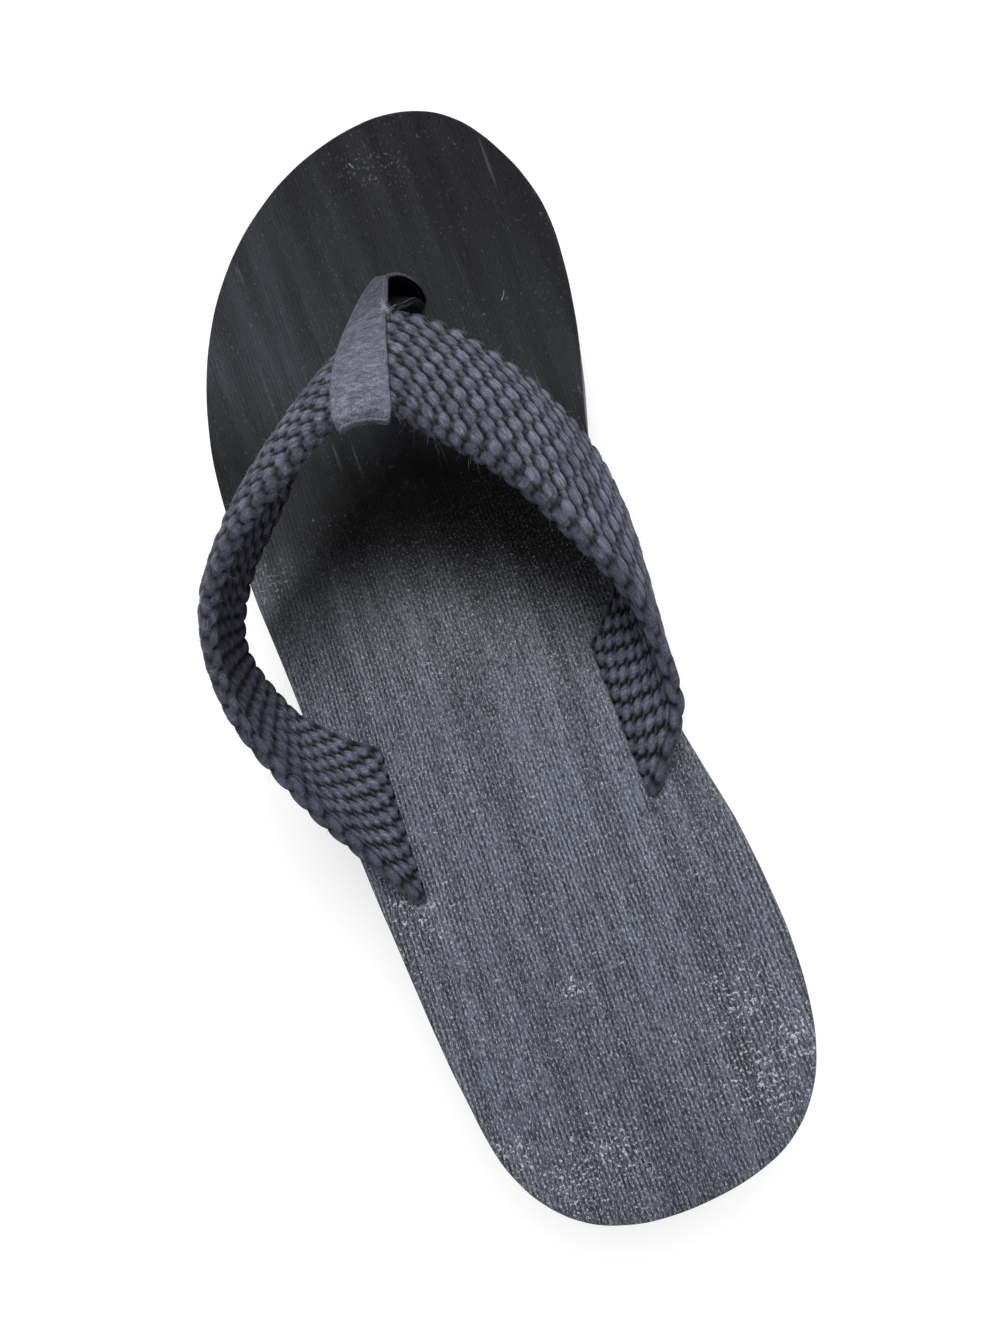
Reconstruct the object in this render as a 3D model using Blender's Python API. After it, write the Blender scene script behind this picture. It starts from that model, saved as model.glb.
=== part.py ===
"""Platform flip-flop for the left foot: wedge sole, footbed, webbing strap and toe tape.

Sizes are in millimetres and become metres where a mesh is made. A station is the
distance from the back of the heel along the footbed. The frame has its origin on the
floor under the middle of the sole, +Y to the toe, +X to the inner side of the foot, +Z up.
"""
import math

import bmesh
import bpy
from mathutils import Vector

MM = 0.001

# Sole
SOLE_LENGTH = 262.0
HEEL_UNDERCUT = 10.0
TOE_OVERHANG = 4.0
HEEL_LIFT = 2.0
HEEL_LIFT_END = 22.0
TOE_SPRING = 10.8
SPRING_START = 185.0
SPRING_POWER = 1.25
SOLE_EDGE = 0.8

# Footbed
FOOTBED_THICK = 3.0
FOOTBED_EDGE = 1.0
JOIN_GAP = 0.3

# Outline and height of the footbed, a row for every 15 degrees of the station angle,
# which runs from 0 at the heel to 180 at the toe and spaces the rows closer at both ends.
# Columns: outer side of the foot, inner side, height above the floor.
ROW_ANGLE = 15.0
SOLE_ROWS = (
    (-3.0, -3.0, 61.5),
    (-21.5, 20.5, 61.6),
    (-32.5, 33.5, 61.4),
    (-37.0, 38.4, 60.0),
    (-40.1, 37.8, 56.8),
    (-43.4, 33.4, 51.2),
    (-46.8, 33.6, 42.6),
    (-49.8, 39.8, 36.3),
    (-48.8, 48.2, 34.3),
    (-40.5, 51.0, 34.9),
    (-25.6, 45.0, 36.1),
    (-5.3, 34.0, 37.8),
    (17.0, 17.0, 38.6),
)
STATION_STEP = 3.0

# Webbing strap
WEBBING_THICK = 3.4
WEBBING_GROOVE = 0.45
CORDS = 8
STEPS_PER_ROW = 3
SLIT_CLEARANCE = 0.4
SLIT_DEPTH = 12.0
CUT_OVER = 10.0
CUT_UNDER = 1.0

# Sections of the strap from the outer slit over the instep to the inner slit.
# Columns: front edge x, station and height over the footbed, then the rear edge's,
# and how far the webbing's middle bows outward from the straight line between its edges.
STRAP_ROWS = (
    (-32.4, 112.0, -12.0, -32.4, 76.0, -12.0, 0.0),
    (-32.4, 112.0, -5.0, -32.4, 76.0, -5.0, 0.0),
    (-32.4, 112.0, 1.5, -32.4, 76.4, 1.5, 0.0),
    (-35.0, 114.2, 5.4, -34.2, 81.0, 7.0, 0.0),
    (-41.5, 120.5, 6.6, -38.5, 90.2, 13.0, 0.4),
    (-48.3, 129.5, 7.2, -44.2, 102.8, 21.8, 1.2),
    (-52.2, 145.0, 11.6, -50.0, 124.6, 38.0, 2.4),
    (-44.5, 158.5, 17.8, -46.6, 142.8, 49.0, 3.8),
    (-30.8, 170.8, 22.9, -34.6, 155.4, 55.0, 5.0),
    (-18.3, 183.6, 28.2, -20.0, 163.4, 57.6, 4.6),
    (-6.7, 193.4, 32.2, -8.0, 168.8, 58.2, 2.4),
    (4.2, 197.4, 34.2, 1.2, 166.4, 55.4, 1.2),
    (13.8, 193.0, 33.2, 7.4, 161.4, 52.2, 1.8),
    (23.1, 183.9, 29.0, 12.6, 155.6, 50.6, 2.6),
    (31.7, 171.3, 23.0, 18.9, 147.4, 47.2, 3.0),
    (37.8, 156.4, 14.8, 26.5, 133.2, 38.8, 2.6),
    (38.6, 141.0, 8.2, 33.6, 116.2, 27.4, 1.6),
    (33.0, 127.6, 6.0, 34.4, 96.5, 14.6, 0.6),
    (27.0, 120.2, 4.8, 28.2, 86.0, 6.6, 0.0),
    (23.8, 117.0, 1.5, 23.8, 80.6, 1.5, 0.0),
    (23.8, 117.0, -5.0, 23.8, 80.2, -5.0, 0.0),
    (23.8, 117.0, -12.0, 23.8, 80.2, -12.0, 0.0),
)

# Toe tape, folded over the strap beside its ridge with both ends in one slot
TAPE_THICK = 1.3
TAPE_GAP = 0.5
TAPE_ROW = 10.8
TAPE_SKEW = 0.35
TAPE_SPREAD_FRONT = 0.42
TAPE_SPREAD_REAR = 0.54
TAPE_START = 0.06
TAPE_LANES = 4
TAPE_STEPS = 8
FOLD_STEPS = 6
SLOT_DEPTH = 10.0

# Free legs of the tape from the slot up to the strap's front edge.
# Columns: left edge x, station and height over the footbed, then the right edge's.
UPPER_LEG_ROWS = (
    (6.5, 219.6, -10.0, 15.5, 213.9, -10.0),
    (6.5, 219.6, -4.0, 15.5, 213.9, -4.0),
    (6.5, 219.6, 1.0, 15.4, 214.0, 1.0),
    (6.3, 219.7, 5.0, 14.9, 214.6, 7.0),
    (6.2, 218.9, 8.6, 12.4, 214.8, 13.8),
    (5.3, 217.0, 12.2, 9.4, 213.4, 18.8),
    (3.2, 213.4, 16.4, 8.6, 209.8, 23.2),
    (0.4, 208.6, 21.4, 8.0, 205.4, 27.8),
)
LOWER_LEG_ROWS = (
    (5.4, 217.9, -10.0, 14.4, 212.2, -10.0),
    (5.4, 217.9, -4.0, 14.4, 212.2, -4.0),
    (5.3, 217.8, 1.0, 14.3, 212.1, 1.0),
    (4.8, 216.6, 5.6, 13.7, 211.2, 6.0),
    (3.4, 213.6, 11.4, 12.4, 208.4, 12.6),
    (1.4, 208.6, 18.4, 10.8, 204.6, 20.2),
    (-1.2, 203.4, 24.2, 9.0, 201.6, 26.6),
)


def catmull(values, t):
    """Catmull-Rom value at row position t of a list of numbers with ends held."""
    last = len(values) - 1
    i = min(int(t), last - 1)
    f = t - i
    a = values[max(i - 1, 0)]
    b = values[i]
    c = values[i + 1]
    d = values[min(i + 2, last)]
    return 0.5 * (2 * b + (c - a) * f + (2 * a - 5 * b + 4 * c - d) * f ** 2
                  + (3 * b - a - 3 * c + d) * f ** 3)


OUTLINE = [row[0] for row in SOLE_ROWS] + [row[1] for row in reversed(SOLE_ROWS[1:-1])]
HEIGHTS = [row[2] for row in SOLE_ROWS]


def station_of(angle):
    """Station at an angle round the outline; 180 is the toe, 360 the heel again."""
    return SOLE_LENGTH / 2 * (1 - math.cos(math.radians(angle)))


def side_of(angle):
    """Sideways place of the outline at an angle, the outer side first."""
    count = len(OUTLINE)
    t = (angle % 360) / ROW_ANGLE
    looped = [OUTLINE[(int(t) + k) % count] for k in (-1, 0, 1, 2)]
    return catmull(looped, 1 + t - int(t))


def footbed_height(station):
    """Height of the footbed's top above the floor."""
    share = min(max(station / SOLE_LENGTH, 0.0), 1.0)
    return catmull(HEIGHTS, math.degrees(math.acos(1 - 2 * share)) / ROW_ANGLE)


def base_height(station):
    """Height of the sole's underside: flat, with a little heel lift and the toe spring."""
    if station < HEEL_LIFT_END:
        return HEEL_LIFT * (1 - station / HEEL_LIFT_END) ** 2
    if station > SPRING_START:
        share = (station - SPRING_START) / (SOLE_LENGTH - SPRING_START)
        return TOE_SPRING * share ** SPRING_POWER
    return 0.0


def place(x, station, z):
    """Point of the frame, in metres."""
    return Vector((x, station - SOLE_LENGTH / 2, z)) * MM


def wall_point(angle, below, inset):
    """Point of the sole's side, a depth below the footbed's top and inset from the edge.

    A depth of None is the underside.
    """
    top_station = station_of(angle)
    top = footbed_height(top_station)
    base = base_height(top_station)
    share = 1.0 if below is None else below / (top - base)
    shrink = (SOLE_LENGTH - HEEL_UNDERCUT - TOE_OVERHANG) / SOLE_LENGTH
    foot_station = HEEL_UNDERCUT + top_station * shrink
    along = Vector((side_of(angle + 1) - side_of(angle - 1),
                    station_of(angle + 1) - station_of(angle - 1))).normalized()
    x = side_of(angle) + along.y * inset
    station = top_station + (foot_station - top_station) * share - along.x * inset
    return place(x, station, top + (base - top) * share)


def mesh_object(name, bm, collection, material):
    """Object of the collection made from a finished bmesh."""
    bmesh.ops.recalc_face_normals(bm, faces=bm.faces)
    mesh = bpy.data.meshes.new(name)
    bm.to_mesh(mesh)
    bm.free()
    mesh.materials.append(material)
    obj = bpy.data.objects.new(name, mesh)
    collection.objects.link(obj)
    return obj


def loft(rings):
    """Closed bmesh through rings of points with the same count, capped at both ends."""
    bm = bmesh.new()
    loops = [[bm.verts.new(point) for point in ring] for ring in rings]
    count = len(loops[0])
    for near, far in zip(loops, loops[1:]):
        for i in range(count):
            j = (i + 1) % count
            bm.faces.new((near[i], near[j], far[j], far[i]))
    bm.faces.new(loops[0])
    bm.faces.new(reversed(loops[-1]))
    return bm


def slab_rings(levels):
    """Rings across a slab of the sole, one for each station.

    Each level is a depth below the footbed and an inset, from the top level down.
    """
    rings = []
    angle = STATION_STEP
    while angle <= 180 - STATION_STEP:
        outer = [wall_point(angle, below, inset) for below, inset in levels]
        inner = [wall_point(360 - angle, below, inset) for below, inset in levels]
        rings.append(outer + inner[::-1])
        angle += STATION_STEP
    return rings


def strap_edges(row):
    """Front and rear edge points of the strap at a row position, in metres."""
    columns = [catmull([r[k] for r in STRAP_ROWS], row) for k in range(6)]
    front_x, front_station, front_lift, rear_x, rear_station, rear_lift = columns
    front = place(front_x, front_station, footbed_height(front_station) + front_lift)
    rear = place(rear_x, rear_station, footbed_height(rear_station) + rear_lift)
    return front, rear


def strap_middle(row, across):
    """Middle of the strap's wall; across is 0 at the front edge and 1 at the rear."""
    step = 0.05
    last = len(STRAP_ROWS) - 1
    front, rear = strap_edges(row)
    before = strap_edges(max(row - step, 0))
    after = strap_edges(min(row + step, last))
    run = (after[0] - before[0]) + (after[1] - before[1])
    outward = run.cross(front - rear).normalized()
    bow = catmull([r[6] for r in STRAP_ROWS], row) * MM
    return front.lerp(rear, across) + outward * bow * 4 * across * (1 - across)


def strap_point(row, across):
    """Middle of the strap's wall and its outward normal."""
    step = 0.05
    last = len(STRAP_ROWS) - 1
    run = strap_middle(min(row + step, last), across) - strap_middle(max(row - step, 0), across)
    wide = strap_middle(row, across - step) - strap_middle(row, across + step)
    return strap_middle(row, across), run.cross(wide).normalized()


def strap_ring(row):
    """Section of the webbing: cords raised on both faces between shallow grooves."""
    outer = []
    inner = []
    points = 2 * CORDS
    for i in range(points + 1):
        middle, normal = strap_point(row, i / points)
        groove = 0.0 if i % 2 else WEBBING_GROOVE
        half = normal * (WEBBING_THICK / 2 - groove) * MM
        outer.append(middle + half)
        inner.append(middle - half)
    return outer + inner[::-1]


def lane_row(across, lane):
    """Row position of a lane of the tape; lanes run from -1 to 1 across it."""
    middle = TAPE_ROW - TAPE_SKEW * across
    return middle + lane * (TAPE_SPREAD_FRONT + (TAPE_SPREAD_REAR - TAPE_SPREAD_FRONT) * across)


def lane_on_strap(lane):
    """One lane of the tape over the strap, round its rear edge and back under it."""
    lift = ((WEBBING_THICK + TAPE_THICK) / 2 + TAPE_GAP) * MM
    shares = [TAPE_START + (1 - TAPE_START) * i / TAPE_STEPS for i in range(TAPE_STEPS + 1)]
    faces = [strap_point(lane_row(share, lane), share) for share in shares]
    over = [middle + normal * lift for middle, normal in faces]
    under = [middle - normal * lift for middle, normal in reversed(faces)]
    edge, normal = faces[-1]
    back = (edge - faces[-2][0]).normalized() * lift
    turns = [math.pi * i / FOLD_STEPS for i in range(1, FOLD_STEPS)]
    fold = [edge + normal * lift * math.cos(turn) + back * math.sin(turn) for turn in turns]
    return over + fold + under


def lane_of_leg(lane, rows):
    """One lane of a free leg, from the slot upwards."""
    share = (lane + 1) / 2
    leg = []
    for left_x, left_station, left_lift, right_x, right_station, right_lift in rows:
        left = place(left_x, left_station, footbed_height(left_station) + left_lift)
        right = place(right_x, right_station, footbed_height(right_station) + right_lift)
        leg.append(left.lerp(right, share))
    return leg


def tape_lane(lane):
    """Whole lane: up the front leg, over the strap, round its rear edge and back down."""
    upper = lane_of_leg(lane, UPPER_LEG_ROWS)
    lower = lane_of_leg(lane, LOWER_LEG_ROWS)
    return upper + lane_on_strap(lane) + lower[::-1]


def tape_rings():
    """Sections of the tape along its path, each with an outer and an inner face."""
    lanes = [tape_lane(2 * i / TAPE_LANES - 1) for i in range(TAPE_LANES + 1)]
    last = len(lanes[0]) - 1
    rings = []
    for i in range(last + 1):
        outer = []
        inner = []
        for j, lane in enumerate(lanes):
            run = lane[min(i + 1, last)] - lane[max(i - 1, 0)]
            wide = lanes[min(j + 1, TAPE_LANES)][i] - lanes[max(j - 1, 0)][i]
            half = wide.cross(run).normalized() * TAPE_THICK / 2 * MM
            outer.append(lane[i] + half)
            inner.append(lane[i] - half)
        rings.append(outer + inner[::-1])
    return rings


def new_collection(name):
    """Collection linked to the scene."""
    collection = bpy.data.collections.new(name)
    bpy.context.scene.collection.children.link(collection)
    return collection


def new_material(name, colour, roughness):
    """Plain Principled material."""
    material = bpy.data.materials.new(name)
    material.use_nodes = True
    shader = material.node_tree.nodes["Principled BSDF"]
    shader.inputs["Base Color"].default_value = (*colour, 1.0)
    shader.inputs["Roughness"].default_value = roughness
    shader.inputs["Metallic"].default_value = 0.0
    return material


def slot_cutter(name, middle, size, turn, collection):
    """Upright box that cuts a slot, turned about its vertical axis."""
    bpy.ops.mesh.primitive_cube_add(size=1.0, location=middle, rotation=(0, 0, turn))
    cutter = bpy.context.object
    cutter.name = name
    cutter.scale = size
    for other in cutter.users_collection:
        other.objects.unlink(cutter)
    collection.objects.link(cutter)
    cutter.display_type = "WIRE"
    cutter.hide_render = True
    return cutter


def cut(obj, cutters):
    """Exact boolean difference with each cutter."""
    for cutter in cutters:
        modifier = obj.modifiers.new(cutter.name, "BOOLEAN")
        modifier.operation = "DIFFERENCE"
        modifier.solver = "EXACT"
        modifier.object = cutter


def slit_cutter(name, row, collection):
    """Cutter for one end of the strap, upright and as long as the webbing is wide."""
    x, front_station, _, _, rear_station, _, _ = STRAP_ROWS[row]
    wide = WEBBING_THICK + 2 * SLIT_CLEARANCE
    length = front_station - rear_station + 2 * SLIT_CLEARANCE
    top = footbed_height(rear_station) + CUT_OVER
    floor = footbed_height(front_station) - SLIT_DEPTH - CUT_UNDER
    middle = place(x, (front_station + rear_station) / 2, (top + floor) / 2)
    size = Vector((wide, length, top - floor)) * MM
    return slot_cutter(name, middle, size, 0.0, collection)


def toe_slot_cutter(name, collection):
    """Cutter for both ends of the tape, turned square to the tape's run."""
    corners = []
    for rows in (UPPER_LEG_ROWS, LOWER_LEG_ROWS):
        left_x, left_station, _, right_x, right_station, _ = rows[0]
        corners.append(place(left_x, left_station, 0))
        corners.append(place(right_x, right_station, 0))
    middle = sum(corners, Vector()) / len(corners)
    along = corners[1] - corners[0]
    across = (corners[2] - corners[0]).cross(along.normalized()).length
    bed = footbed_height(middle.y / MM + SOLE_LENGTH / 2)
    middle.z = (bed + (CUT_OVER - SLOT_DEPTH - CUT_UNDER) / 2) * MM
    size = Vector((along.length, across + TAPE_THICK * MM, (CUT_OVER + SLOT_DEPTH + CUT_UNDER) * MM))
    size.x += 2 * SLIT_CLEARANCE * MM
    size.y += 2 * SLIT_CLEARANCE * MM
    return slot_cutter(name, middle, size, math.atan2(along.y, along.x), collection)


def main():
    for obj in list(bpy.data.objects):
        bpy.data.objects.remove(obj, do_unlink=True)
    parts = new_collection("platform_flip_flop")
    cutters = new_collection("cutters")
    foam = new_material("sole_foam", (0.045, 0.048, 0.055), 0.6)
    ribbed = new_material("footbed_foam", (0.055, 0.06, 0.068), 0.7)
    webbing = new_material("webbing", (0.05, 0.05, 0.07), 0.85)
    grosgrain = new_material("grosgrain", (0.06, 0.062, 0.08), 0.75)

    footbed_levels = [(0.0, FOOTBED_EDGE), (FOOTBED_EDGE, 0.0), (FOOTBED_THICK, 0.0)]
    sole_levels = [(FOOTBED_THICK + JOIN_GAP, 0.0), (None, SOLE_EDGE)]
    sole = mesh_object("sole", loft(slab_rings(sole_levels)), parts, foam)
    footbed = mesh_object("footbed", loft(slab_rings(footbed_levels)), parts, ribbed)

    last = len(STRAP_ROWS) - 1
    rows = [i / STEPS_PER_ROW for i in range(last * STEPS_PER_ROW + 1)]
    mesh_object("strap", loft([strap_ring(row) for row in rows]), parts, webbing)
    mesh_object("toe_post", loft(tape_rings()), parts, grosgrain)

    outer_slit = slit_cutter("outer_slit", 0, cutters)
    inner_slit = slit_cutter("inner_slit", last, cutters)
    toe_slot = toe_slot_cutter("toe_slot", cutters)
    for piece in (sole, footbed):
        cut(piece, (outer_slit, inner_slit, toe_slot))


main()
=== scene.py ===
"""Looks of the platform flip-flop: foam sole, ribbed footbed, woven strap and toe tape.

Sizes of the shoe are in millimetres and become metres where a mesh is made. The camera, the
floor, the merge reach and the relief of a finish are in metres. A station is the distance
from the back of the heel along the footbed. The tables repeat the part's own, so that each
piece lies where its solid does.
"""
import math

import bpy
import numpy as np
from mathutils import Matrix, Vector


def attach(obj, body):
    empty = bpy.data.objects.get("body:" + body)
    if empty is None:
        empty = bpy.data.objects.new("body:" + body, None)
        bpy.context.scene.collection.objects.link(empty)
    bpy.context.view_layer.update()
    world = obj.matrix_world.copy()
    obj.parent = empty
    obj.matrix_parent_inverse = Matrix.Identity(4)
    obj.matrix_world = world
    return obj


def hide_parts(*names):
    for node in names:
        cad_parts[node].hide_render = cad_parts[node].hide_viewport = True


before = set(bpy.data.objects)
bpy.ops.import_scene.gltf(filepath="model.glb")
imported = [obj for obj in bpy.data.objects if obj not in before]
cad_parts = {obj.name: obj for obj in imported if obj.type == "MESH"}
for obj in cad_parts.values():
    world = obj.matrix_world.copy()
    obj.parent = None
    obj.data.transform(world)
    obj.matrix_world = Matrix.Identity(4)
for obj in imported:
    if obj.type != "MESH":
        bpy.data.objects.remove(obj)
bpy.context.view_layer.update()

MM = 0.001
SEED = 11

# Sole and footbed
SOLE_LENGTH = 262.0
HEEL_UNDERCUT = 10.0
TOE_OVERHANG = 4.0
HEEL_LIFT = 2.0
HEEL_LIFT_END = 22.0
TOE_SPRING = 10.8
SPRING_START = 185.0
SPRING_POWER = 1.25
SOLE_EDGE = 0.8
FOOTBED_THICK = 3.0
FOOTBED_EDGE = 1.0
SIDE_NORMAL = 0.55
PARTING_GAP = 0.1
PARTING_EDGE = 0.2
ROW_ANGLE = 15.0
ANGLE_STEP = 1.0
TIP_ANGLES = np.array([0.12, 0.45])
ACROSS_STEPS = 28
WALL_STEPS = 14
EDGE_ROUND_STEPS = 4
LIP_RISE = 0.5
LIP_REACH = 3.0
LIP_DEPTH = 0.5
EDGE_WANDER = 0.05
FOOTBED_BREAK = 0.6
CRISP_ANGLE = 50.0
MERGE_REACH = 1e-6

# Columns: outer side of the foot, inner side, height above the floor, a row for every
# 15 degrees of the station angle, from 0 at the heel to 180 at the toe.
SOLE_ROWS = (
    (-3.0, -3.0, 61.5),
    (-21.5, 20.5, 61.6),
    (-32.5, 33.5, 61.4),
    (-37.0, 38.4, 60.0),
    (-40.1, 37.8, 56.8),
    (-43.4, 33.4, 51.2),
    (-46.8, 33.6, 42.6),
    (-49.8, 39.8, 36.3),
    (-48.8, 48.2, 34.3),
    (-40.5, 51.0, 34.9),
    (-25.6, 45.0, 36.1),
    (-5.3, 34.0, 37.8),
    (17.0, 17.0, 38.6),
)

# Webbing strap
WEBBING_THICK = 3.4
WEBBING_CORE = 0.9
WEBBING_RELIEF = 0.95
WEBBING_INSET = 1.1
WEBBING_WIDE = 37.0
CORDS = 8
INNER_CORDS = 12
INNER_PICK_LENGTH = 5.0
CORD_STEPS = 8
INNER_CORD_STEPS = 8
PICK_LENGTH = 5.0
PICK_TIGHTER = 0.9
ROW_STEP = 0.5
SELVEDGE_STEPS = 8
STRAP_FROM = 1.0
STRAP_TO = 20.0
BEND_RIBS = 1.2
BEND_SLANT = 1.5
BEND_SHARE = 0.85
BEND_VALLEY = 0.2
BEND_CORDS = 0.75
SLIT_CLEARANCE = 0.1
SLIT_ROUND = 0.45
SLIT_ROUND_STEPS = 4
SLIT_DEPTH = 12.0
PINCH = 2.6
PRESSED = 0.6
CUT_OVER = 10.0
CUT_UNDER = 1.0
ROW_NUDGE = 0.05
FINE_ROWS = 4000
SPARE_PICKS = 9

# Row and reach of the strap's ridge, its bend, its pinch and its pressed place
RIDGE_AT = (11.0, 3.6)
BEND_AT = (5.9, 1.3)
PINCH_AT = (10.9, 0.9)
PRESSED_AT = (10.6, 0.75)

# Columns: front edge x, station and height over the footbed, then the rear edge's, and how
# far the webbing's middle bows outward from the straight line between its edges.
STRAP_ROWS = (
    (-32.4, 112.0, -12.0, -32.4, 76.0, -12.0, 0.0),
    (-32.4, 112.0, -5.0, -32.4, 76.0, -5.0, 0.0),
    (-32.4, 112.0, 1.5, -32.4, 76.4, 1.5, 0.0),
    (-35.0, 114.2, 5.4, -34.2, 81.0, 7.0, 0.0),
    (-41.5, 120.5, 6.6, -38.5, 90.2, 13.0, 0.4),
    (-48.3, 129.5, 7.2, -44.2, 102.8, 21.8, 1.2),
    (-52.2, 145.0, 11.6, -50.0, 124.6, 38.0, 2.4),
    (-44.5, 158.5, 17.8, -46.6, 142.8, 49.0, 3.8),
    (-30.8, 170.8, 22.9, -34.6, 155.4, 55.0, 5.0),
    (-18.3, 183.6, 28.2, -20.0, 163.4, 57.6, 4.6),
    (-6.7, 193.4, 32.2, -8.0, 168.8, 58.2, 2.4),
    (4.2, 197.4, 34.2, 1.2, 166.4, 55.4, 1.2),
    (13.8, 193.0, 33.2, 7.4, 161.4, 52.2, 1.8),
    (23.1, 183.9, 29.0, 12.6, 155.6, 50.6, 2.6),
    (31.7, 171.3, 23.0, 18.9, 147.4, 47.2, 3.0),
    (37.8, 156.4, 14.8, 26.5, 133.2, 38.8, 2.6),
    (38.6, 141.0, 8.2, 33.6, 116.2, 27.4, 1.6),
    (33.0, 127.6, 6.0, 34.4, 96.5, 14.6, 0.6),
    (27.0, 120.2, 4.8, 28.2, 86.0, 6.6, 0.0),
    (23.8, 117.0, 1.5, 23.8, 80.6, 1.5, 0.0),
    (23.8, 117.0, -5.0, 23.8, 80.2, -5.0, 0.0),
    (23.8, 117.0, -12.0, 23.8, 80.2, -12.0, 0.0),
)

# Toe tape
TAPE_THICK = 1.3
TAPE_LIFT = 2.15
TAPE_ROW = 10.8
TAPE_SKEW = 0.35
TAPE_SPREAD = (0.42, 0.54)
TAPE_START = 0.06
TAPE_STEPS = 8
FOLD_STEPS = 6
SLOT_DEPTH = 10.0
TAPE_CORE = 0.5
TAPE_RIB = 0.1
TAPE_RIB_PITCH = 1.0
TAPE_ROW_STEP = 0.25
TAPE_FACE_STEPS = 14
TAPE_EDGE_STEPS = 4
TAPE_LANE_REACH = 0.93
FINE_KNOTS = 40

# Columns: left edge x, station and height over the footbed, then the right edge's.
UPPER_LEG_ROWS = (
    (6.5, 219.6, -10.0, 15.5, 213.9, -10.0),
    (6.5, 219.6, -4.0, 15.5, 213.9, -4.0),
    (6.5, 219.6, 1.0, 15.4, 214.0, 1.0),
    (6.3, 219.7, 5.0, 14.9, 214.6, 7.0),
    (6.2, 218.9, 8.6, 12.4, 214.8, 13.8),
    (5.3, 217.0, 12.2, 9.4, 213.4, 18.8),
    (3.2, 213.4, 16.4, 8.6, 209.8, 23.2),
    (0.4, 208.6, 21.4, 8.0, 205.4, 27.8),
)
LOWER_LEG_ROWS = (
    (5.4, 217.9, -10.0, 14.4, 212.2, -10.0),
    (5.4, 217.9, -4.0, 14.4, 212.2, -4.0),
    (5.3, 217.8, 1.0, 14.3, 212.1, 1.0),
    (4.8, 216.6, 5.6, 13.7, 211.2, 6.0),
    (3.4, 213.6, 11.4, 12.4, 208.4, 12.6),
    (1.4, 208.6, 18.4, 10.8, 204.6, 20.2),
    (-1.2, 203.4, 24.2, 9.0, 201.6, 26.6),
)

# Weave: half sizes, in cells, of the plump yarns, of the slim ones between four of them and
# of the flat ones that cross between two of a column, then their height and crown
BIG_YARN = (0.49, 0.49)
SLIM_YARN = (0.26, 0.34, 0.72, 0.84)
FLAT_YARN = (0.16, 0.3, 0.5, 0.6)
YARN_POWER = 2.3
YARN_LEAN = 0.2
RIDGE_LEAN = 0.42
RIDGE_STAGGER = 0.42
INNER_LEANS = ((6.0, 16.0), (0.75, -0.75))
INNER_STAGGER = 0.45
# Lowest tone of the inner face's yarns, which paints the inner face lighter: painted light
INNER_PAINTED_LIGHT = 0.5
YARN_SHIFT = 0.04
YARN_LOW = 0.78
YARN_NUMBER = 40
BEAD_REACH = 0.03
BEAD_WIDE = 0.74
BEAD_LONG = 0.52
# Share of their crown that the selvedge beads keep in the colour, lowered as painted shade on
# beads that face up
BEAD_SHADED_CROWN = 0.78

# Stitches
STITCH_LENGTH = 0.8
STITCH_PITCH = 1.15
STITCH_THICK = 0.26
STITCH_FLAT = 0.7
STITCH_SIDES = 6
STITCH_SINK = 0.6
STITCH_LANE = 0.84
STITCH_LANES = 9
STITCH_FIND_STEP = 0.1
SEAM_STITCHES = 13
SEAM_FOLD_STEP = 3
SEAM_LENGTH = 1.5
SEAM_SLANT = 0.7

# Loose fibres
FIBRE_STEPS = 4
FIBRE_TAPER = 0.6
FIBRE_SIDE = (0.1, 0.2, 0.4)
EDGE_FIBRES = 520
EDGE_ROOT = 0.03
EDGE_LENGTHS = (1.2, 3.4)
REAR_SHARE = 0.6
CROWN_FIBRES = 1500
CROWN_EDGE = 0.05
CROWN_ROOT = 0.8
CROWN_RISE = 0.45
CROWN_LENGTHS = (0.5, 1.1)
FUZZ_THICK = 0.06
FUZZ_MARGIN = 1.2
FUZZ_SPREAD = 0.6
FUZZ_BEND = 0.3
FRAY_FIBRES = 150
FRAY_THICK = 0.09
FRAY_LENGTHS = (0.4, 1.1)
FRAY_BEND = 0.7
RIDGE_FRAY_SPREAD = (0.5, 0.9, 0.5)
RIDGE_FRAY_WAY = (0.5, 0.6, 0.9)
SLIT_FRAY_OFF = (0.5, -1.5, 0.5)
SLIT_FRAY_SPREAD = (1.3, 0.9, 0.1)
SLIT_FRAY_RISE = 0.25
SLIT_FRAY_BEND = 0.2
LINT_THICK = 0.16

# Lint on the footbed. Columns: x, station, length, heading in degrees, bend.
LINT = (
    (-46.0, 140.6, 2.2, 20.0, 0.1),
    (-45.3, 135.0, 3.6, -100.0, 0.5),
    (-44.6, 131.0, 2.0, 160.0, -0.7),
    (-11.7, 119.0, 3.0, -80.0, 0.2),
    (-19.2, 91.0, 2.6, -110.0, 0.4),
    (-5.3, 9.2, 2.4, 30.0, 0.9),
    (-4.4, 11.4, 1.8, 140.0, 0.8),
    (14.6, 52.6, 3.2, -95.0, 0.1),
    (25.0, 40.0, 2.6, -60.0, -0.3),
    (32.5, 206.0, 2.6, 35.0, 0.4),
    (9.5, 253.4, 1.8, -70.0, 0.1),
    (-44.4, 215.0, 2.0, 80.0, 0.4),
)

# Camera: the photograph's place, heading, tilt and roll, then a pan and a nod that centre
# the shoe
CAMERA_PLACE = (0.01905, -0.0512, 0.316)
CAMERA_TURNS = ((-20.92, "Z"), (7.3, "X"), (-0.41, "Z"), (6.47, "Y"), (-0.86, "X"))
CAMERA_LENS = 32.41
CAMERA_SENSOR = 36.0
CAMERA_NEAR = 0.01

# Light and floor
SURROUND_LIGHT = 0.3
SUN_LIGHT = 2.9
SUN_SPREAD = 32.0
SUN_TURN = (-19.0, 9.0, 0.0)
FLOOR_SIZE = 6.0
FLOOR_DROP = 0.0002
FLOOR_GLOW = 0.55
FLOOR_TONE = (0.5, 0.5, 0.5, 1.0)
WHITE = (1.0, 1.0, 1.0, 1.0)
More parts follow.
